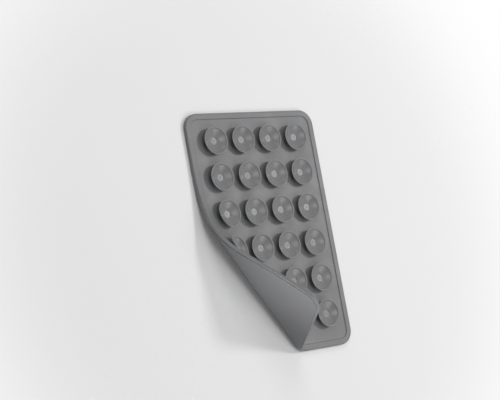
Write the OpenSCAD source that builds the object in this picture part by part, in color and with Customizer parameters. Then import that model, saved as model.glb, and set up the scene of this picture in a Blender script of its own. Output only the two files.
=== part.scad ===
// Silicone suction pad with its adhesive sheet, one corner peeled up.
// A web with a raised border carries a grid of small suction cups.
// The pad lies on its back: X runs across it, Y along it and Z up through the cups.
// The origin is the centre of the pad's outline, on the surface that it lies on.

/* [Pad] */
// Width of the pad across its columns of cups
pad_w = 64; // [62:1:70]
// Length of the pad along its rows of cups
pad_l = 96; // [94:1:100]
// Radius of the outline's corners
corner_r = 6; // [5:0.5:7]
// Thickness of the web that carries the cups
web_t = 1.1; // [0.9:0.1:1.4]
// Width of the raised border
border_w = 2.6; // [2:0.2:3]
// Height of the border above the web
border_rise = 0.35; // [0.2:0.05:0.5]

/* [Adhesive sheet] */
// Thickness of the adhesive sheet on the pad's back
film_t = 0.3; // [0.2:0.05:0.5]
// How far the adhesive sheet stays inside the pad's edge
film_inset = 0.7; // [0.4:0.1:1.2]

/* [Suction cups] */
// Cups across the pad
columns = 4; // [2:1:4]
// Cups along the pad
rows = 6; // [2:1:6]
// Spacing of the columns
column_pitch = 13.4; // [12.4:0.1:13.8]
// Spacing of the rows
row_pitch = 14.3; // [13:0.1:14.6]
// How far the grid of cups sits towards the upper edge
grid_shift = 1; // [0:0.1:1.2]
// Diameter of a cup's lip
cup_d = 11; // [9:0.2:11.6]
// Height of the lip above the web
cup_h = 2.5; // [2.1:0.1:2.6]
// Diameter of the stem below a cup
stem_d = 4.8; // [4:0.2:5.4]
// Diameter of the dimple in a cup's middle
dimple_d = 3.1; // [2.4:0.1:3.6]
// Depth of the dimple below the bowl
dimple_depth = 0.45; // [0.2:0.05:0.6]

/* [Peeled corner] */
// Where the straight lines of the fold meet, across the pad
fold_x = 17; // [16:0.5:19]
// Where the straight lines of the fold meet, below the pad
fold_y = -66; // [-68:0.5:-65]
// Direction of the line along which the pad starts to lift, from +X
fold_start = 113.4; // [112:0.2:115]
// Fan of lines over which the fold turns
fold_spread = 23; // [22:0.5:30]
// How far the fold turns the corner up
fold_turn = 96.5; // [60:0.5:98]
// How strongly the free flap curls back again
flap_flare = 0.35; // [0:0.05:0.8]

/* [Hidden] */

silicone_colour = [0.48, 0.48, 0.49];
film_colour = [0.44, 0.44, 0.45];

half_w = pad_w / 2;
half_l = pad_l / 2;
fold_point = [fold_x, fold_y];
inner_r = corner_r - border_w;   // corner of the web inside the border
corner_steps = 5;                // facets of a rounded corner
lip_segments = 28;               // facets round a cup on the lifted part
flat_margin = 3;                 // degrees past the fold's start that still lie as good as flat
step_w = 0.2;                    // run of the step from web to border
edge_round = 0.4;                // rounding of the border's upper outer edge
lip_t = 0.22;                    // thickness of a cup at its lip
stem_sink = 0.5;                 // how deep a stem's root sits in the web
bowl_depth = 1.5;                // from the lip down to the rim of the dimple
bowl_steps = 5;                  // straight stretches of the bowl's curve
bowl_curve = 0.5;                // 0 for a cone, 1 for a round dish

// The fold. Every straight line of the folded sheet passes through fold_point.
// A frame is [along a line, across the lines, normal of the sheet].

function turned(v, axis, angle) =
    v * cos(angle) + cross(axis, v) * sin(angle) + axis * (axis * v) * (1 - cos(angle));

function next_frame(f, curl, angle) =
    let (axis = curl * f[0] + f[2], size = norm(axis))
    [for (v = f) turned(v, axis / size, angle * size)];

function eased(t) = let (s = min(max(t, 0), 1)) s * s * (3 - 2 * s);

// Degrees that the sheet turns for each degree of the fan, angle from the fold's start
function curl_at(angle) =
    let (u = angle / fold_spread)
    (u < 1 ? fold_turn / fold_spread * (1 - cos(360 * u)) : 0) - flap_flare * eased(2 * u - 1);

frame_step = 1;
frame_count = 60;
start_frame = [[cos(fold_start), sin(fold_start), 0],
               [-sin(fold_start), cos(fold_start), 0],
               [0, 0, 1]];
frames = [for (i = 0, f = start_frame; i <= frame_count;
               f = next_frame(f, curl_at((i + 0.5) * frame_step), frame_step), i = i + 1) f];

function fan_angle(p) = atan2(p[1] - fold_y, p[0] - fold_x);

// Puts the point p of the flat sheet, h above the pad's back, where the peeled sheet has it
function bent(p, h) =
    let (past = fan_angle(p) - fold_start)
    past <= 0 ? [p[0], p[1], film_t + h] :
    let (i = floor(past / frame_step),
         f = next_frame(frames[i], curl_at((i + 0.5) * frame_step), past - i * frame_step))
    [fold_x, fold_y, film_t] + norm(p - fold_point) * f[0] + h * f[2];

// Outline of the web inside the border, as corners from round to round
core_w = half_w - corner_r;
core_l = half_l - corner_r;
web_outline = [for (q = [0:3], s = [0:corner_steps])
    let (a = 90 * (q + s / corner_steps))
    [(q == 0 || q == 3 ? core_w : -core_w) + inner_r * cos(a),
     (q < 2 ? core_l : -core_l) + inner_r * sin(a)]];

function sorted(v) = len(v) < 2 ? v :
    let (m = v[floor(len(v) / 2)])
    concat(sorted([for (x = v) if (x < m) x]), [for (x = v) if (x == m) x],
           sorted([for (x = v) if (x > m) x]));

// Lines of the fan: one through each corner point, and evenly over the lifted part
corner_angles = [for (p = web_outline) fan_angle(p)];
last_angle = max(corner_angles);
lift_angles = [for (a = [fold_start:frame_step:last_angle])
    if (min([for (c = corner_angles) abs(c - a)]) > frame_step / 5) a];
all_angles = sorted(concat(corner_angles, lift_angles));
fan = [for (i = [0:len(all_angles) - 1])
    if (i == 0 || all_angles[i] - all_angles[i - 1] > 0.001) all_angles[i]];
last = len(fan) - 1;
ring_size = 2 * last;

// Distances from fold_point at which a line of the fan crosses the web's outline
function crossings(a) =
    let (d = [cos(a), sin(a)], n = len(web_outline))
    [for (i = [0:n - 1])
        let (p = web_outline[i] - fold_point, q = web_outline[(i + 1) % n] - fold_point,
             cp = d[0] * p[1] - d[1] * p[0], cq = d[0] * q[1] - d[1] * q[0])
        if (min(abs(cp), abs(cq)) < 0.0001 || cp * cq < 0)
            abs(cp) < 0.0001 ? d * p : abs(cq) < 0.0001 ? d * q : d * (p + (q - p) * cp / (cp - cq))];

near_points = [for (a = fan) fold_point + min(crossings(a)) * [cos(a), sin(a)]];
far_points = [for (a = fan) fold_point + max(crossings(a)) * [cos(a), sin(a)]];
web_ring = [for (k = [0:ring_size - 1]) k <= last ? near_points[k] : far_points[ring_size - k]];

// A ring moved outwards by d, square to the outline
function moved_out(p, d) =
    let (c = [min(max(p[0], -core_w), core_w), min(max(p[1], -core_l), core_l)])
    c + (p - c) / norm(p - c) * (inner_r + d);

function ring_points(d, h) = [for (p = web_ring) bent(moved_out(p, d), h)];

// Faces between ring j and ring j + 1, and across the first or the last ring
function strip(j, rising) = [for (k = [0:ring_size - 1])
    let (n = (k + 1) % ring_size, a = j * ring_size, b = a + ring_size)
    each rising ? [[a + k, b + k, b + n], [a + k, b + n, a + n]]
                : [[a + k, b + k, a + n], [b + k, b + n, a + n]]];

function flipped(faces) = [for (f = faces) [f[2], f[1], f[0]]];

function ladder(j) = [for (i = [0:last - 1])
    let (o = j * ring_size, b = (ring_size - i) % ring_size, c = ring_size - i - 1)
    each concat(i > 0 ? [[o + i, o + i + 1, o + b]] : [],
                i < last - 1 ? [[o + i + 1, o + c, o + b]] : [])];

module pad_sheet() {
    top = web_t + border_rise;
    film_edge = border_w - film_inset;
    rings = [[0, web_t],
             [step_w * 0.6, web_t + border_rise * 0.8],
             [step_w * 1.6, top],
             [border_w - edge_round, top],
             [border_w - edge_round * 0.3, top - edge_round * 0.3],
             [border_w, top - edge_round],
             [border_w, 0],
             [film_edge, 0],
             [0, 0]];
    final_ring = len(rings) - 1;
    polyhedron([for (r = rings) each ring_points(r[0], r[1])],
        concat(ladder(0), [for (j = [0:final_ring - 1]) each strip(j, true)],
               flipped(ladder(final_ring))));
}

// Half section of a cup, radius and height above the pad's back, from the root to the dimple
lip_h = web_t + cup_h;
lip_r = cup_d / 2;
stem_r = stem_d / 2;
dimple_r = dimple_d / 2;
bowl_floor = lip_h - bowl_depth;
cup_section = concat(
    [[0, web_t - stem_sink],
     [stem_r + 0.35, web_t - stem_sink],
     [stem_r + 0.35, web_t + 0.05],
     [stem_r, web_t + 0.4],
     [stem_r + 0.5, web_t + 0.75],
     [lip_r - 0.9, lip_h - 0.75],
     [lip_r, lip_h - lip_t],
     [lip_r, lip_h]],
    [for (i = [0:bowl_steps])
        let (u = i / bowl_steps)
        [lip_r - 0.2 - u * (lip_r - 0.2 - dimple_r - 0.25),
         lip_h - 0.02 - (bowl_depth - 0.02) * (bowl_curve * sin(90 * u) + (1 - bowl_curve) * u)]],
    [[dimple_r, bowl_floor - 0.12],
     [dimple_r - 0.25, bowl_floor - dimple_depth],
     [0, bowl_floor - dimple_depth]]);

module flat_cup(x, y) {
    translate([x, y, film_t]) rotate_extrude($fn = 64) polygon(cup_section);
}

// A cup on the lifted part bends with the web, so its section is swept round and bent
module lifted_cup(x, y) {
    n = len(cup_section);
    rims = [for (k = [1:n - 2], s = [0:lip_segments - 1])
        let (a = 360 * s / lip_segments)
        bent([x + cup_section[k][0] * cos(a), y + cup_section[k][0] * sin(a)], cup_section[k][1])];
    points = concat([bent([x, y], cup_section[0][1])], rims, [bent([x, y], cup_section[n - 1][1])]);
    crown = len(points) - 1;
    polyhedron(points, [for (s = [0:lip_segments - 1])
        let (t = (s + 1) % lip_segments)
        each concat([[0, 1 + s, 1 + t]],
            [for (k = [0:n - 4])
                let (a = 1 + k * lip_segments, b = a + lip_segments)
                each [[a + s, b + s, b + t], [a + s, b + t, a + t]]],
            [[1 + (n - 3) * lip_segments + s, crown, 1 + (n - 3) * lip_segments + t]])]);
}

module suction_pad() {
    color(silicone_colour)
    union() {
        pad_sheet();
        for (c = [0:columns - 1], r = [0:rows - 1]) {
            x = (c - (columns - 1) / 2) * column_pitch;
            y = (r - (rows - 1) / 2) * row_pitch + grid_shift;
            if (fan_angle([x, y]) > fold_start + flat_margin) lifted_cup(x, y);
            else flat_cup(x, y);
        }
    }
}

// The adhesive sheet meets the pad's back facet by facet, on the fold as well
module adhesive_sheet() {
    film_edge = border_w - film_inset;
    rings = [[0, 0], [film_edge, 0], [film_edge, -film_t], [0, -film_t]];
    color(film_colour)
    polyhedron([for (r = rings) each ring_points(r[0], r[1])],
        concat(ladder(0), strip(0, false), strip(1, true), strip(2, true), flipped(ladder(3))));
}

suction_pad();
adhesive_sheet();
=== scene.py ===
# %% [markdown]
# A suction pad: a soft silicone sheet with twenty-four small cups on its front, and an
# adhesive sheet on its back. Its lower left corner is peeled up. This lesson dresses the
# measured solids of the pad for a picture. The two pieces are one silicone moulding and one
# thin film, so the lesson makes two meshes. They could be modelled folded, point by point.
# But both come off their tools flat, so they are drawn flat, and one function folds them.

import math

import bmesh
import bpy
import numpy as np
from mathutils import Matrix, Vector


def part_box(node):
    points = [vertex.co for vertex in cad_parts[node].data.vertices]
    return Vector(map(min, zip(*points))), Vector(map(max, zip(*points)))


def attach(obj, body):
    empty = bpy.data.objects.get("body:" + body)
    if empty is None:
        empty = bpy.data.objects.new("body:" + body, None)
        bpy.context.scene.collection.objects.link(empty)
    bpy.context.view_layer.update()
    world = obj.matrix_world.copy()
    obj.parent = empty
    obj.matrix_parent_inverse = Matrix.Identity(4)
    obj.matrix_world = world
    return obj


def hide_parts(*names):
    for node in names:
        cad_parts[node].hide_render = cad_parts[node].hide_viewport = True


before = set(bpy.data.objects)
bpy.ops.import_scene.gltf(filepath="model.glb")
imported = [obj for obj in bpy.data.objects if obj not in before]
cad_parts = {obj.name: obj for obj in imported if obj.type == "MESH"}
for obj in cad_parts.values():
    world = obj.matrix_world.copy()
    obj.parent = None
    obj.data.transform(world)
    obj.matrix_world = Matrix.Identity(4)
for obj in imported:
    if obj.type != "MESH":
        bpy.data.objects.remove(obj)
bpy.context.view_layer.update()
print("solids in the frame:", sorted(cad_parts))

# %% [markdown]
# Sizes first. The outline and the film's thickness are read from the solids, so the picture
# can't drift away from them. What a box round a solid can't tell, such as the spacing of the
# cups, repeats the drawing's own dimensions. Everything is in millimetres until a mesh is
# made, because that is how a toolmaker would say it.

# %% Sizes of the pad
MM = 0.001
pad_low, pad_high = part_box("suction_pad")
half_w = (pad_high.x - pad_low.x) / 2 / MM
half_l = (pad_high.y - pad_low.y) / 2 / MM
film_t = pad_low.z / MM

corner_r = 6.0
border_w = 2.6
web_t = 1.1
border_rise = 0.35
film_inset = 0.7
core_w = half_w - corner_r
core_l = half_l - corner_r
inner_r = corner_r - border_w

columns, rows = 4, 6
column_pitch, row_pitch = 13.4, 14.3
grid_shift = 1.0
lip_r = 5.5
cup_h = 2.5
stem_r = 2.4
dimple_r = 1.55
dimple_depth = 0.45
bowl_depth = 1.5
bowl_curve = 0.5
print(f"pad {2 * half_w:.1f} by {2 * half_l:.1f} mm, film {film_t:.2f} mm thick")

# %% [markdown]
# The camera comes next, because every later choice is judged through it. The photograph
# looks down on the pad from the left, about fifty degrees above the table, with a long lens.
# A camera in Blender looks along its own -Z, so its three axes are built from two sight
# lines: the one towards the middle of the pad and the one that shall point up in the frame.

# %% The camera
camera_place = Vector((-345.9, -51.9, 420.5)) * MM
camera_aim = Vector((-6.0, 13.2, 0.0)) * MM
frame_up = Vector((0.0647, 0.9769, 0.2035))
lens_mm = 100.8
sensor_mm = 36.0

camera_data = bpy.data.cameras.new("camera")
camera_data.lens = lens_mm
camera_data.sensor_width = sensor_mm
camera_data.clip_start = 0.05
camera_data.clip_end = 20.0
camera = bpy.data.objects.new("camera", camera_data)
bpy.context.scene.collection.objects.link(camera)
bpy.context.scene.camera = camera
back_axis = (camera_place - camera_aim).normalized()
right_axis = frame_up.cross(back_axis).normalized()
up_axis = back_axis.cross(right_axis)
turn = Matrix((right_axis, up_axis, back_axis)).transposed().to_4x4()
camera.matrix_world = Matrix.Translation(camera_place) @ turn
print(f"camera {(camera_place - camera_aim).length / MM:.0f} mm from the pad")

# %% [markdown]
# Now the fold. Silicone of this thickness bends easily but hardly stretches, so a peeled
# corner bends along straight lines. A bend modifier could roll it round one axis, and cloth
# simulation could drop it, but neither keeps the free edges where the photograph has them.
# Here all the lines of the bend meet in one point a little below the pad, like the ribs of a
# hand fan, so that six numbers set the whole fold.

# %% The fold's numbers
fold_point = np.array([17.0, -66.0])
fold_start = 113.4
fold_spread = 23.0
fold_turn = 96.5
flap_flare = 0.35
rib_step = 1.0
rib_count = 60
print(f"the flap turns {fold_turn} degrees over a fan of {fold_spread} degrees")

# %% [markdown]
# Going round the fan from rib to rib, the sheet turns slowly, then fast, then slowly again,
# and the free flap curls back a little, as soft rubber does. A closed formula for such a bend
# is hard to read, so the code walks round in small steps instead. It keeps three directions
# for every rib: along it, across it and out of the sheet.

# %% Walking round the fan
def turned(vectors, axis, angle):
    """Vectors turned about unit axes by angles in degrees."""
    a = np.radians(angle)[:, None]
    along = (vectors * axis).sum(1, keepdims=True)
    swung = vectors * np.cos(a) + np.cross(axis, vectors) * np.sin(a)
    return swung + axis * along * (1 - np.cos(a))


def curl_at(angle):
    """Degrees that the sheet turns for each degree of the fan."""
    u = angle / fold_spread
    curl = np.where(u < 1, fold_turn / fold_spread * (1 - np.cos(2 * np.pi * u)), 0.0)
    s = np.clip(2 * u - 1, 0, 1)
    return curl - flap_flare * s * s * (3 - 2 * s)


def next_rib(ribs, curl, angle):
    """The three directions of each rib, moved round the fan by an angle."""
    axis = curl[:, None] * ribs[:, 0] + ribs[:, 2]
    size = np.linalg.norm(axis, axis=1)
    axis = axis / size[:, None]
    return np.stack([turned(ribs[:, j], axis, angle * size) for j in range(3)], axis=1)


start = math.radians(fold_start)
first_rib = [
    [math.cos(start), math.sin(start), 0],
    [-math.sin(start), math.cos(start), 0],
    [0, 0, 1],
]
ribs = [np.array([first_rib])]
for i in range(rib_count):
    curl = curl_at(np.array([(i + 0.5) * rib_step]))
    ribs.append(next_rib(ribs[-1], curl, np.array([rib_step])))
ribs = np.concatenate(ribs)
print(f"{len(ribs)} ribs, {rib_step} degree apart")

# %% [markdown]
# One function then bends anything: it finds the rib that a flat point lies on and rebuilds
# the point from that rib's three directions. Because web, cups, border and film all go
# through it, they stay together on the fold without any fitting.

# %% Bending points
corner_inset = 1.6


def past_fold(xy):
    """How far round the fan a point lies past the fold's first line, in degrees."""
    return np.degrees(np.arctan2(xy[:, 1] - fold_point[1], xy[:, 0] - fold_point[0])) - fold_start


def bent(flat):
    """Points of the flat pad, x, y and height above its back, where the peeled pad has them."""
    past = past_fold(flat[:, :2])
    i = np.clip(np.floor(past / rib_step).astype(int), 0, rib_count - 1)
    here = next_rib(ribs[i], curl_at((i + 0.5) * rib_step), past - i * rib_step)
    reach = np.linalg.norm(flat[:, :2] - fold_point, axis=1)
    folded = here[:, 0] * reach[:, None] + here[:, 2] * flat[:, 2:3]
    folded[:, :2] += fold_point
    lying = past <= 0
    folded[lying] = flat[lying]
    folded[:, 2] += film_t
    return folded


corner_now = bent(np.array([[corner_inset - half_w, corner_inset - half_l, 0.0]]))[0]
print(f"the peeled corner stands {corner_now[2]:.1f} mm above the table")

# %% [markdown]
# A moulding like this one is a few sections repeated or led round a path. It could be put
# together from primitives with booleans, but those leave ragged faces and no control over
# the edges. Rows of points do better: a small helper keeps points and faces, and joins two
# rows with four-sided faces.

# %% A drawing board for flat shapes
class Board:
    """Rows of points in the flat pad's space, and the faces between them."""

    def __init__(self):
        self.points = []
        self.faces = []
        self.count = 0

    def row(self, points):
        """Adds a row of points and returns their numbers."""
        points = np.asarray(points, float)
        self.points.append(points)
        self.count += len(points)
        return np.arange(self.count - len(points), self.count)

    def join(self, a, b, closed=True):
        """Four-sided faces between two rows, facing to the left of the way from a to b."""
        n = len(a)
        for k in range(n if closed else n - 1):
            m = (k + 1) % n
            self.faces.append((a[k], a[m], b[m], b[k]))

    def cap(self, ring, point):
        """Closes a ring of points with a fan round one point."""
        middle = self.row([point])[0]
        for k in range(len(ring)):
            self.faces.append((ring[k], ring[(k + 1) % len(ring)], middle))


# %% [markdown]
# The mesh needs fine faces only where the sheet is bent tightly. A subdivision modifier would
# split every face, also the thousands that lie flat. So these functions say how tight the
# fold is at a flat point and how far it is from a cup, and only long edges in the tight part
# of the web are split.

# %% Where the fold is tight
cup_share = 0.62
tight_radii = (9.0, 4.5)
edges_in_radius = 12


def fold_radius(flat):
    """How tightly the pad is bent at each flat point, in millimetres."""
    past = past_fold(flat[:, :2])
    reach = np.linalg.norm(flat[:, :2] - fold_point, axis=1)
    curl = np.where(past > 0, np.abs(curl_at(past)), 0.0)
    return reach / np.maximum(curl, 0.001)


def from_cup(flat):
    """Distance of each flat point from the middle of the nearest cup."""
    column = np.clip(np.round(flat[:, 0] / column_pitch + (columns - 1) / 2), 0, columns - 1)
    row = np.clip(np.round((flat[:, 1] - grid_shift) / row_pitch + (rows - 1) / 2), 0, rows - 1)
    middle_x = (column - (columns - 1) / 2) * column_pitch
    middle_y = (row - (rows - 1) / 2) * row_pitch + grid_shift
    return np.hypot(flat[:, 0] - middle_x, flat[:, 1] - middle_y)


def clear_of_cups(flat):
    """True where a point is on the web or the border and not on a cup."""
    return from_cup(flat) > lip_r * cup_share


tip = np.array([[corner_inset - half_w, corner_inset - half_l, 0.0]])
print(f"beside the tip of the flap the bend's radius is {fold_radius(tip)[0]:.0f} mm")

# %% [markdown]
# From a board to a piece: points that fell on the same spot are melted, tight parts are
# split, and only then is the mesh bent. Each point also keeps its flat place and its zones
# as named attributes, because the finishes need to know where on the moulding they are.

# %% From a board to a piece
same_spot = 0.002


def made_mesh(name, board, zones):
    """Melts, splits and folds a board, links the piece, and keeps values for its zones."""
    flat_mesh = bpy.data.meshes.new(name)
    points = np.concatenate(board.points)
    flat_mesh.from_pydata(points.tolist(), [], [tuple(int(v) for v in f) for f in board.faces])
    work = bmesh.new()
    work.from_mesh(flat_mesh)
    bmesh.ops.remove_doubles(work, verts=work.verts, dist=same_spot)
    for radius in tight_radii:
        middles = np.array([((e.verts[0].co + e.verts[1].co) / 2)[:] for e in work.edges])
        spans = np.array([(e.verts[0].co - e.verts[1].co).length for e in work.edges])
        tight = (fold_radius(middles) < radius) & (spans > radius / edges_in_radius)
        split = tight & clear_of_cups(middles)
        edges = [e for e, s in zip(work.edges, split) if s]
        bmesh.ops.subdivide_edges(work, edges=edges, cuts=1, use_grid_fill=True)
    bmesh.ops.recalc_face_normals(work, faces=work.faces)
    flat = np.array([v.co[:] for v in work.verts])
    for vertex, place in zip(work.verts, bent(flat) * MM):
        vertex.co = place
    work.to_mesh(flat_mesh)
    work.free()
    keep_flat = flat_mesh.attributes.new("flat_place", "FLOAT_VECTOR", "POINT")
    keep_flat.data.foreach_set("vector", (flat * MM).astype(np.float32).ravel())
    for zone, value in zones(flat).items():
        keep_zone = flat_mesh.attributes.new(zone, "FLOAT", "POINT")
        keep_zone.data.foreach_set("value", value.astype(np.float32))
    flat_mesh.shade_smooth()
    piece = bpy.data.objects.new(name, flat_mesh)
    bpy.context.scene.collection.objects.link(piece)
    print(f"{name}: {len(flat_mesh.polygons)} faces")
    return piece


# %% [markdown]
# The outline is a rounded rectangle, and a curve with a bevel could draw its border. Then the
# border would be a separate tube, and on the real pad it is one moulding with the web. So any
# ring round the pad is that outline moved in or out, made by one function. Its points pair up
# with the points round the block of cups, and faces run on from the cups to the border.

# %% Rings round the pad
cell_w, cell_l = column_pitch / 2, row_pitch / 2
side_steps = 16
corner_steps = 5


def block_ring():
    """Points round the block of cells that hold the cups, anticlockwise."""
    w, l = columns * cell_w, rows * cell_l
    nw, nl = columns * side_steps, rows * side_steps
    across = [(-w + 2 * w * i / nw, -l) for i in range(nw)]
    up = [(w, -l + 2 * l * i / nl) for i in range(nl)]
    return np.array(across + up + [(-x, -y) for x, y in across + up]) + (0, grid_shift)


def outline_side(n, length, depth, out):
    """Half a corner, a straight side and half a corner, as n steps of a side seen lying down."""
    m = corner_steps
    for i in range(n):
        if i < m or i > n - m:
            a = math.radians(45 * (i / m - 1 if i < m else 1 - (n - i) / m))
            s = -1 if i < m else 1
            yield s * length + math.sin(a) * (inner_r + out), -depth - math.cos(a) * (inner_r + out)
        else:
            yield -length + 2 * length * (i - m) / (n - 2 * m), -depth - inner_r - out


def outline_ring(out):
    """The web's outline moved outwards, with one point for each point of block_ring()."""
    nw, nl = columns * side_steps, rows * side_steps
    across = list(outline_side(nw, core_w, core_l, out))
    up = [(-y, x) for x, y in outline_side(nl, core_l, core_w, out)]
    return np.array(across + up + [(-x, -y) for x, y in across + up])


def at_height(xy, h):
    """Flat points with a height above the pad's back."""
    return np.column_stack([xy, np.full(len(xy), float(h))])


def rounded(centre, radius, first, final, steps):
    """Points of an arc in a section, angles in degrees from outwards to upwards."""
    angles = np.radians(np.linspace(first, final, steps))
    return [(centre[0] + radius * math.cos(a), centre[1] + radius * math.sin(a)) for a in angles]


print(f"a ring round the pad has {len(outline_ring(0))} points")

# %% [markdown]
# A suction cup is a turned shape, so it is drawn as half a section and swept round. A screw
# modifier would do that for one cup, but each of these has to grow out of the web and bend
# with it. From the web it rises in a small fillet to a narrow stem, flares into a skirt that
# thins towards the lip, rolls over the lip, and sinks in a shallow bowl to a dimple. Just
# inside the lip the mould leaves a narrow land with a fine step. Every edge is broken by a
# few hundredths, which is what catches light.

# %% Half section of a cup
lip_h = web_t + cup_h
bowl_floor = lip_h - bowl_depth
fillet_r = 0.5
lip_round = 0.09
skirt_low, skirt_high = 0.62, 0.27
land_w, land_step = 0.62, 0.24
land_r = lip_r - land_w
floor_r = dimple_r + 0.25
rim_w = 0.44
rim_sink = 0.6 * dimple_depth
bowl_steps = 9
skirt_steps = 7
rim_steps = 8


def cup_section():
    """Parts of the half section, each a list of radius and height above the pad's back."""
    foot = rounded((stem_r + fillet_r, web_t + fillet_r), fillet_r, 270, 180, 5)
    skirt = []
    for i in range(1, skirt_steps + 1):
        u = i / skirt_steps
        r = stem_r + (lip_r - 0.12 - stem_r) * (1 - math.cos(u * math.pi / 2)) ** 0.72
        skirt.append((r, web_t + skirt_low + (cup_h - skirt_low - skirt_high) * u ** 1.25))
    lip = rounded((lip_r - lip_round, lip_h - lip_round - 0.02), lip_round, -55, 110, 6)
    lip.append((lip_r - 0.3, lip_h - 0.07))
    land = [(land_r + 0.08, lip_h - 0.15), (land_r + 0.03, lip_h - 0.17)]
    land.append((land_r, lip_h - land_step))
    bowl = []
    for i in range(1, bowl_steps + 1):
        u = i / bowl_steps
        sunk = bowl_curve * math.sin(u * math.pi / 2) + (1 - bowl_curve) * u
        r = land_r - u * (land_r - floor_r)
        bowl.append((r, lip_h - land_step - (bowl_depth - land_step) * sunk))
    rim = []
    for i in range(1, rim_steps + 1):
        u = i / rim_steps
        sunk = (1 - math.cos(u * math.pi)) / 2
        rim.append((floor_r - rim_w * u, bowl_floor - rim_sink * sunk))
    pit = [(1.0, bowl_floor - rim_sink), (0.5, bowl_floor - 0.55 * dimple_depth)]
    return {
        "foot": foot,
        "skirt": skirt,
        "lip": lip,
        "land": land,
        "bowl": bowl,
        "rim": rim,
        "pit": pit,
    }


parts = cup_section()
section = [point for part in parts.values() for point in part]
print(f"a cup's half section has {len(section)} points")

# %% [markdown]
# One moulding, two skins: the faces that seal come off polished cores, and the rest off a
# blasted mould. The lips get a lighter grey, painted light for the little light that gets
# through them, and the dimples' rims and floors get some of it as a painted highlight. Two
# materials would meet in a hard line, and a painted mask would be a picture. But every ring
# of points on a cup belongs to one part of the section, so the part can tell the value, and
# it fades from ring to ring.

# %% Zones of a cup, with its painted glow
polish_of = {"land": 0.7, "bowl": 1.0, "rim": 0.9, "pit": 0.5}
# painted light: how much lighter grey each part gets, a glow on the lips and a highlight on the
# dimples
painted_glow_of = {"lip": 1.0, "rim": 0.3, "pit": 0.15}
on_ring = 0.02


def ring_values(flat, value_of):
    """The value of the part of a cup that each point lies on, and 0 off the cups."""
    rings = np.array(section)
    values = np.array([value_of.get(name, 0.0) for name, part in parts.items() for _ in part])
    gap = np.hypot(from_cup(flat)[:, None] - rings[:, 0], flat[:, 2:3] - rings[:, 1])
    return np.where(gap.min(axis=1) < on_ring, values[gap.argmin(axis=1)], 0.0)


def pad_zones(flat):
    """How polished the moulding is at each point, and how much painted glow it gets."""
    return {"polish": ring_values(flat, polish_of), "painted_glow": ring_values(flat, painted_glow_of)}


def film_zones(flat):
    """The film has one finish, so it keeps no zones."""
    return {}


print("polished parts of a cup:", sorted(polish_of))

# %% [markdown]
# The web carries twenty-four equal cups. They could be copies of one object set on a plate,
# but then each cup would only stick in the web. Here each cup stands in its own square cell
# of the web and grows out of it, and the cells meet edge to edge.

# %% One cell of the web
around = 4 * side_steps
web_rings = 5


def cell_edge(cx, cy):
    """Points round one cell, anticlockwise from its lower left corner."""
    n = side_steps
    across = [(-cell_w + 2 * cell_w * i / n, -cell_l) for i in range(n)]
    up = [(cell_w, -cell_l + 2 * cell_l * i / n) for i in range(n)]
    return np.array([(cx + x, cy + y) for x, y in across + up + [(-x, -y) for x, y in across + up]])


def add_cup(board, cx, cy):
    """One cell of the web with its cup."""
    angles = np.radians(225 + 360 * np.arange(around) / around)
    circle = np.column_stack([np.cos(angles), np.sin(angles)])
    edge = cell_edge(cx, cy)
    foot = np.array([cx, cy]) + circle * section[0][0]
    previous = None
    for i in range(web_rings + 1):
        t = i / web_rings
        ring = board.row(at_height(edge + (foot - edge) * t, web_t))
        if previous is not None:
            board.join(previous, ring)
        previous = ring
    for r, h in section[1:]:
        ring = board.row(at_height(np.array([cx, cy]) + circle * r, h))
        board.join(previous, ring)
        previous = ring
    board.cap(previous, (cx, cy, section[-1][1]))


print(f"{around} points round each cup")

# %% [markdown]
# Round the block of cells comes the frame: a strip of web, the step up to the border, the
# border's flat top, its rounded outer edge, the side, and then the smooth back. A bevel
# modifier could round the edges, but with the section written out each radius is the one
# that the real edge shows.

# %% The border and the back
top = web_t + border_rise
edge_round = 0.45
back_round = 0.1
border_section = (
    [(0.0, web_t), (0.07, web_t + 0.02), (0.13, web_t + 0.08), (0.2, web_t + 0.25)]
    + [(0.26, top - 0.04), (0.36, top), (0.6, top), (border_w - 0.8, top)]
    + rounded((border_w - edge_round, top - edge_round), edge_round, 90, 0, 6)
    + [(border_w, 0.3)]
    + rounded((border_w - back_round, back_round), back_round, 0, -90, 4)
    + [(border_w - 0.3, 0.0), (border_w - film_inset, 0.0), (0.0, 0.0)]
)


def add_back(board, h):
    """The grid that closes the middle of a face, cell by cell."""
    nw, nl = columns * side_steps, rows * side_steps
    xs = np.linspace(-columns * cell_w, columns * cell_w, nw + 1)
    ys = np.linspace(-rows * cell_l, rows * cell_l, nl + 1) + grid_shift
    lines = [board.row(at_height(np.column_stack([xs, np.full(nw + 1, y)]), h)) for y in ys]
    for a, b in zip(lines[1:], lines[:-1]):
        board.join(a, b, closed=False)


print(f"{len(border_section)} points in the border's section")

# %% [markdown]
# Now the pad is put together, from the cups outwards and round to the back. The result is one
# closed skin, as the real moulding is.

# %% The silicone pad
board = Board()
for c in range(columns):
    for r in range(rows):
        x = (c - (columns - 1) / 2) * column_pitch
        y = (r - (rows - 1) / 2) * row_pitch + grid_shift
        add_cup(board, x, y)
previous = board.row(at_height(block_ring(), web_t))
for t in (0.34, 0.67):
    ring = board.row(at_height(block_ring() * (1 - t) + outline_ring(0) * t, web_t))
    board.join(ring, previous)
    previous = ring
for out, h in border_section:
    ring = board.row(at_height(outline_ring(out), h))
    board.join(ring, previous)
    previous = ring
board.join(board.row(at_height(block_ring(), 0.0)), previous)
add_back(board, 0.0)
pad = made_mesh("suction_pad_silicone", board, pad_zones)

# %% [markdown]
# The adhesive sheet is a flat blank, die-cut a little smaller than the pad. It could be just
# another colour on the pad's back. But it has a thickness and a cut edge, and that edge is
# the fine line that follows the rim of the peeled flap, so it is a thin closed piece. It lies
# against the pad's back and bends with it.

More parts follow.
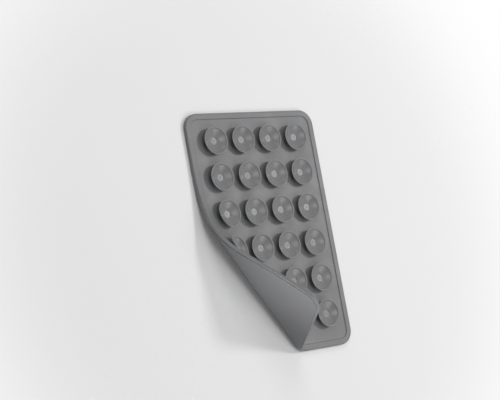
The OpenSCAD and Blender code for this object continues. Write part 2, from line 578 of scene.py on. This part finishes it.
# %% The adhesive sheet
film_edge = border_w - film_inset
film_round = 0.12
film_section = (
    [(0.0, 0.0), (film_edge, 0.0), (film_edge, -film_round)]
    + [(film_edge, -film_t + film_round)]
    + rounded((film_edge - film_round, -film_t + film_round), film_round, -20, -90, 3)
    + [(film_edge - 0.4, -film_t), (0.0, -film_t)]
)
board = Board()
add_back(board, 0.0)
previous = board.row(at_height(block_ring(), 0.0))
for out, h in film_section:
    ring = board.row(at_height(outline_ring(out), h))
    board.join(ring, previous)
    previous = ring
board.join(board.row(at_height(block_ring(), -film_t)), previous)
add_back(board, -film_t)
film = made_mesh("adhesive_film", board, film_zones)

# %% [markdown]
# Finishes. Both skins have a very fine grain and slight clouds, where pigment mixed unevenly
# or hands have been. The nodes could be repeated in each material, but effects that serve
# more than one finish are better as node groups: a grain that gives a height, and clouds that
# give a value. The shader stays outside the groups, in each material.

# %% Shared effects
def group_with(name, inputs, outputs):
    """An empty node group with named sockets."""
    group = bpy.data.node_groups.new(name, "ShaderNodeTree")
    for socket, kind, value in inputs:
        made = group.interface.new_socket(socket, in_out="INPUT", socket_type=kind)
        if value is not None:
            made.default_value = value
    for socket, kind in outputs:
        group.interface.new_socket(socket, in_out="OUTPUT", socket_type=kind)
    return group, group.nodes.new("NodeGroupInput"), group.nodes.new("NodeGroupOutput")


# %% [markdown]
# The mould was blasted with fine beads, so its skin has two sizes of unevenness: the beads'
# own pits and a slower waviness. Modelled, they would cost millions of faces. They are far
# too small to change an outline, so they are a height for a bump node, from two noises.

# %% Grain of the mould
def moulded_grain():
    """Fine grain of a blasted mould: a height from two sizes of noise."""
    group, given, result = group_with(
        "moulded_grain",
        [("Place", "NodeSocketVector", None), ("Fine scale", "NodeSocketFloat", 9000.0),
         ("Coarse scale", "NodeSocketFloat", 1500.0), ("Coarse share", "NodeSocketFloat", 0.35)],
        [("Height", "NodeSocketFloat")],
    )
    nodes, links = group.nodes, group.links
    fine = nodes.new("ShaderNodeTexNoise")
    coarse = nodes.new("ShaderNodeTexNoise")
    mix = nodes.new("ShaderNodeMix")
    links.new(given.outputs["Place"], fine.inputs["Vector"])
    links.new(given.outputs["Place"], coarse.inputs["Vector"])
    links.new(given.outputs["Fine scale"], fine.inputs["Scale"])
    links.new(given.outputs["Coarse scale"], coarse.inputs["Scale"])
    links.new(given.outputs["Coarse share"], mix.inputs["Factor"])
    links.new(fine.outputs["Fac"], mix.inputs["A"])
    links.new(coarse.outputs["Fac"], mix.inputs["B"])
    links.new(mix.outputs["Result"], result.inputs["Height"])
    return group


grain_group = moulded_grain()
print("node group:", grain_group.name)

# %% [markdown]
# Clouds are the quiet half of a good material: nothing that was moulded and handled has one
# even colour and gloss. One noise is stretched between two limits, and each place in a
# material chooses its own scale and limits, from broad patches of pigment to specks of dust.

# %% Clouds
def clouds():
    """Soft clouds between two limits, for uneven pigment, handling and dust."""
    group, given, result = group_with(
        "clouds",
        [("Place", "NodeSocketVector", None), ("Scale", "NodeSocketFloat", 60.0),
         ("Low", "NodeSocketFloat", 0.0), ("High", "NodeSocketFloat", 1.0)],
        [("Value", "NodeSocketFloat")],
    )
    nodes, links = group.nodes, group.links
    noise = nodes.new("ShaderNodeTexNoise")
    noise.inputs["Detail"].default_value = 4.0
    spread = nodes.new("ShaderNodeMapRange")
    spread.inputs["From Min"].default_value = 0.35
    spread.inputs["From Max"].default_value = 0.65
    links.new(given.outputs["Place"], noise.inputs["Vector"])
    links.new(given.outputs["Scale"], noise.inputs["Scale"])
    links.new(noise.outputs["Fac"], spread.inputs["Value"])
    links.new(given.outputs["Low"], spread.inputs["To Min"])
    links.new(given.outputs["High"], spread.inputs["To Max"])
    links.new(spread.outputs["Result"], result.inputs["Value"])
    return group


cloud_group = clouds()
print("node group:", cloud_group.name)

# %% [markdown]
# Both finishes read the place that each point had on the flat pad, which was kept as a named
# attribute. Object coordinates would be simpler, but the real pad was moulded flat and bent
# later, so its grain has to run round the fold unchanged.

# %% A helper for materials
def finish_with(name):
    """A material with its shader, and a node that reads the flat place."""
    material = bpy.data.materials.new(name)
    material.use_nodes = True
    tree = material.node_tree
    shader = tree.nodes["Principled BSDF"]
    place = tree.nodes.new("ShaderNodeAttribute")
    place.attribute_name = "flat_place"
    return material, tree, shader, place


def placed(tree, group, place, **values):
    """One of the groups in a material, fed with the place and its own values."""
    node = tree.nodes.new("ShaderNodeGroup")
    node.node_tree = group
    tree.links.new(place.outputs["Vector"], node.inputs["Place"])
    for key, value in values.items():
        node.inputs[key.replace("_", " ")].default_value = value
    return node


def colour_between(tree, factor, low, high):
    """A colour that a value moves between two greys."""
    mix = tree.nodes.new("ShaderNodeMix")
    mix.data_type = "RGBA"
    mix.inputs[6].default_value = (*low, 1.0)
    mix.inputs[7].default_value = (*high, 1.0)
    tree.links.new(factor, mix.inputs["Factor"])
    return mix.outputs[2]


def colour_over(tree, below, colour, factor):
    """A plain colour laid over another one by a value."""
    mix = tree.nodes.new("ShaderNodeMix")
    mix.data_type = "RGBA"
    mix.inputs[7].default_value = (*colour, 1.0)
    tree.links.new(below, mix.inputs[6])
    tree.links.new(factor, mix.inputs["Factor"])
    return mix.outputs[2]


def bumped(tree, shader, height, distance, strength):
    """Feeds a height to the shader's normal."""
    bump = tree.nodes.new("ShaderNodeBump")
    bump.inputs["Distance"].default_value = distance
    bump.inputs["Strength"].default_value = strength
    tree.links.new(height, bump.inputs["Height"])
    tree.links.new(bump.outputs["Normal"], shader.inputs["Normal"])


# %% [markdown]
# The silicone is a dense mid grey with a satin skin, and the cups' sealing faces are a little
# glossier. A plain grey with one roughness would give the shape but look like clay. So clouds
# vary the pigment and both roughnesses, fine specks of dust cling to it, as they do to all
# silicone, and the zones of the cups choose between the skins. A lighter grey is painted on
# the lips as a glow and on the dimples as a highlight.

# %% Silicone
silicone_greys = ((0.177, 0.178, 0.183), (0.193, 0.194, 0.199))
dust_grey = (0.32, 0.31, 0.30)
# painted glow and highlight: the lighter grey of the lips and the dimples
painted_glow_grey = (0.225, 0.226, 0.231)
mould_grain = 0.02 * MM


def zone_value(tree, name):
    """Reads one of the zones that the mesh keeps."""
    zone = tree.nodes.new("ShaderNodeAttribute")
    zone.attribute_name = name
    return zone.outputs["Fac"]


def value_between(tree, factor, low, high):
    """A value that a factor moves between two others."""
    mix = tree.nodes.new("ShaderNodeMix")
    tree.links.new(low, mix.inputs["A"])
    tree.links.new(high, mix.inputs["B"])
    tree.links.new(factor, mix.inputs["Factor"])
    return mix.outputs["Result"]


def silicone_finish():
    """Mid grey silicone: satin from the mould, glossier on the polished cups, with painted glow on
    the lips and dimples.
    """
    material, tree, shader, place = finish_with("grey_silicone")
    pigment = placed(tree, cloud_group, place, Scale=55.0)
    grey = colour_between(tree, pigment.outputs["Value"], *silicone_greys)
    specks = placed(tree, cloud_group, place, Scale=1400.0, Low=-0.05, High=0.07)
    dusty = colour_over(tree, grey, dust_grey, specks.outputs["Value"])
    # painted light: the lips and the dimples' rims and floors turn a lighter grey
    painted_glow_colour = colour_over(tree, dusty, painted_glow_grey, zone_value(tree, "painted_glow"))
    tree.links.new(painted_glow_colour, shader.inputs["Base Color"])
    skin = placed(tree, cloud_group, place, Scale=140.0, Low=0.44, High=0.52)
    core = placed(tree, cloud_group, place, Scale=260.0, Low=0.25, High=0.31)
    polish = zone_value(tree, "polish")
    roughness = value_between(tree, polish, skin.outputs["Value"], core.outputs["Value"])
    tree.links.new(roughness, shader.inputs["Roughness"])
    grain = placed(tree, grain_group, place)
    bumped(tree, shader, grain.outputs["Height"], mould_grain, 0.25)
    return material


silicone = silicone_finish()
pad.data.materials.append(silicone)
print("finish:", silicone.name)

# %% [markdown]
# The adhesive film is a grey carrier with a coat of glue: a touch darker than the silicone,
# with gloss that comes and goes in patches where the glue took up marks. It could share the
# silicone's material, but on the flap the two lie side by side and the difference shows.

# %% Adhesive film
film_greys = ((0.155, 0.157, 0.163), (0.170, 0.172, 0.178))
glue_grain = 0.03 * MM


def film_finish():
    """Grey adhesive film, a little darker and smoother than the silicone."""
    material, tree, shader, place = finish_with("grey_adhesive_film")
    tone = placed(tree, cloud_group, place, Scale=35.0)
    colour = colour_between(tree, tone.outputs["Value"], *film_greys)
    tree.links.new(colour, shader.inputs["Base Color"])
    glue = placed(tree, cloud_group, place, Scale=90.0, Low=0.40, High=0.50)
    tree.links.new(glue.outputs["Value"], shader.inputs["Roughness"])
    scales = {"Fine_scale": 4000.0, "Coarse_scale": 500.0, "Coarse_share": 0.5}
    grain = placed(tree, grain_group, place, **scales)
    bumped(tree, shader, grain.outputs["Height"], glue_grain, 0.2)
    return material


adhesive = film_finish()
film.data.materials.append(adhesive)
print("finish:", adhesive.name)

# %% [markdown]
# The two meshes now stand for the two solids. Each rides on the one body of this part, and
# the solid that it replaces is hidden.

# %% Tying the pieces to the frame
for piece, node, slot in ((pad, "suction_pad", "silicone"), (film, "adhesive_sheet", "adhesive")):
    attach(piece, "root")
    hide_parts(node)
print("pieces:", pad.name, film.name)

# %% [markdown]
# The set is a pale floor and a bright room. White could come from more light, but then the
# grey of the pad would wash out. So the floor and the room ask which kind of ray looks at
# them: a ray from the camera, a mirror or a glass sees white, and every other ray sees the
# plain floor and a dim room.

# %% White for the eye
def seen_by_eye(tree):
    """1 for camera, glossy and transmission rays, 0 for the rays that carry light."""
    path = tree.nodes.new("ShaderNodeLightPath")
    total = path.outputs["Is Camera Ray"]
    for kind in ("Is Glossy Ray", "Is Transmission Ray"):
        larger = tree.nodes.new("ShaderNodeMath")
        larger.operation = "MAXIMUM"
        tree.links.new(total, larger.inputs[0])
        tree.links.new(path.outputs[kind], larger.inputs[1])
        total = larger.outputs[0]
    return total


# %% [markdown]
# The floor is matte paper. Near the pad it stays a real surface, which keeps the soft shadow
# that shows how high the flap stands. Further out it fades to plain white for the eye, so
# that no horizon shows. A curved backdrop would do the same, but not from every side.

# %% Floor
floor_half = 3.0
floor_grey = (0.87, 0.87, 0.88, 1.0)
floor_white = (1.0, 1.0, 1.0, 1.0)
white_from, white_at = 0.075, 0.19


def distance_to_white(tree):
    """0 on the floor near the pad and 1 far away, with a soft way between."""
    place = tree.nodes.new("ShaderNodeTexCoord")
    distance = tree.nodes.new("ShaderNodeVectorMath")
    distance.operation = "LENGTH"
    tree.links.new(place.outputs["Object"], distance.inputs[0])
    spread = tree.nodes.new("ShaderNodeMapRange")
    spread.interpolation_type = "SMOOTHERSTEP"
    spread.inputs["From Min"].default_value = white_from
    spread.inputs["From Max"].default_value = white_at
    tree.links.new(distance.outputs["Value"], spread.inputs["Value"])
    return spread.outputs["Result"]


def floor_finish():
    """Pale matte paper that turns to plain white for the eye away from the pad."""
    material = bpy.data.materials.new("pale_floor")
    material.use_nodes = True
    tree = material.node_tree
    shader = tree.nodes["Principled BSDF"]
    shader.inputs["Roughness"].default_value = 0.7
    shader.inputs["Specular IOR Level"].default_value = 0.2
    eye = seen_by_eye(tree)
    paper = tree.nodes.new("ShaderNodeMix")
    paper.data_type = "RGBA"
    paper.inputs[6].default_value = floor_grey
    paper.inputs[7].default_value = floor_white
    tree.links.new(eye, paper.inputs["Factor"])
    tree.links.new(paper.outputs[2], shader.inputs["Base Color"])
    white = tree.nodes.new("ShaderNodeEmission")
    share = tree.nodes.new("ShaderNodeMath")
    share.operation = "MULTIPLY"
    tree.links.new(eye, share.inputs[0])
    tree.links.new(distance_to_white(tree), share.inputs[1])
    both = tree.nodes.new("ShaderNodeMixShader")
    tree.links.new(share.outputs[0], both.inputs["Fac"])
    tree.links.new(shader.outputs["BSDF"], both.inputs[1])
    tree.links.new(white.outputs["Emission"], both.inputs[2])
    tree.links.new(both.outputs["Shader"], tree.nodes["Material Output"].inputs["Surface"])
    return material


def pale_floor():
    """A floor much larger than the view."""
    mesh = bpy.data.meshes.new("floor")
    signs = ((-1, -1), (1, -1), (1, 1), (-1, 1))
    corners = [(x * floor_half, y * floor_half, 0) for x, y in signs]
    mesh.from_pydata(corners, [], [(0, 1, 2, 3)])
    floor = bpy.data.objects.new("floor", mesh)
    bpy.context.scene.collection.objects.link(floor)
    mesh.materials.append(floor_finish())
    return floor


floor = pale_floor()
print("floor:", floor.name)

# %% [markdown]
# The photograph's light can be read off the cups. Each bowl is a small mirror that is bent
# to all sides, and it shows four soft patches: one lamp on the right, one in front of it, one
# overhead on the left and one behind. Soft boxes give such patches, where a sun lamp would
# give hard points. A fifth lamp with a narrow grid lights only the free corner of the flap,
# which fades into shade towards the fold. It stands so low that its beam hardly touches the
# floor and the flat part of the pad.

# %% Lamps
lamp_distance = 0.9


def soft_box(name, place, aim, size, power):
    """A square area lamp that looks at a point."""
    data = bpy.data.lights.new(name, "AREA")
    data.shape = "SQUARE"
    data.size = size
    data.energy = power
    lamp = bpy.data.objects.new(name, data)
    lamp.location = Vector(place)
    direction = Vector(aim) - Vector(place)
    lamp.rotation_mode = "QUATERNION"
    lamp.rotation_quaternion = direction.to_track_quat("-Z", "Y")
    bpy.context.scene.collection.objects.link(lamp)
    return lamp


def lamp_place(azimuth, elevation):
    """The place of a lamp seen from the pad, angles in degrees."""
    a, e = math.radians(azimuth), math.radians(elevation)
    toward = Vector((math.cos(a) * math.cos(e), math.sin(a) * math.cos(e), math.sin(e)))
    return toward * lamp_distance


# azimuth and elevation of each lamp in degrees, its size in metres and its power in watts
lamps = {
    "right": (13, 50, 0.15, 1.95),
    "front": (-52, 44, 0.42, 1.6),
    "overhead": (150, 80, 0.35, 1.25),
    "behind": (100, 40, 0.35, 1.1),
}
for name, (azimuth, elevation, size, power) in lamps.items():
    soft_box(name, lamp_place(azimuth, elevation), (0, 0, 0), size, power)

beside_flap = Vector(bent(np.array([[-52.0, -42.0, 0.0]]))[0]) * MM
accent = soft_box("accent", beside_flap + lamp_place(219, 2), beside_flap, 0.02, 0.012)
accent_beam = 6.2
accent.data.spread = math.radians(accent_beam)

# %% [markdown]
# The room fills the shadows. A picture of a studio could do it, but an even room is enough
# for matte rubber: dim for the light, so that the lamps keep their contrast, and white for
# the eye, like the background of the photograph.

# %% Room
room_light = 0.25


def bright_room(strength):
    """A dim even room for the light, white for the eye."""
    world = bpy.data.worlds.new("studio")
    bpy.context.scene.world = world
    world.use_nodes = True
    tree = world.node_tree
    background = tree.nodes["Background"]
    background.inputs["Color"].default_value = (1.0, 1.0, 1.0, 1.0)
    level = tree.nodes.new("ShaderNodeMix")
    level.inputs["A"].default_value = strength
    level.inputs["B"].default_value = 1.0
    tree.links.new(seen_by_eye(tree), level.inputs["Factor"])
    tree.links.new(level.outputs["Result"], background.inputs["Strength"])


bright_room(room_light)
bpy.context.scene.view_settings.view_transform = "Standard"
print("room:", bpy.context.scene.world.name)
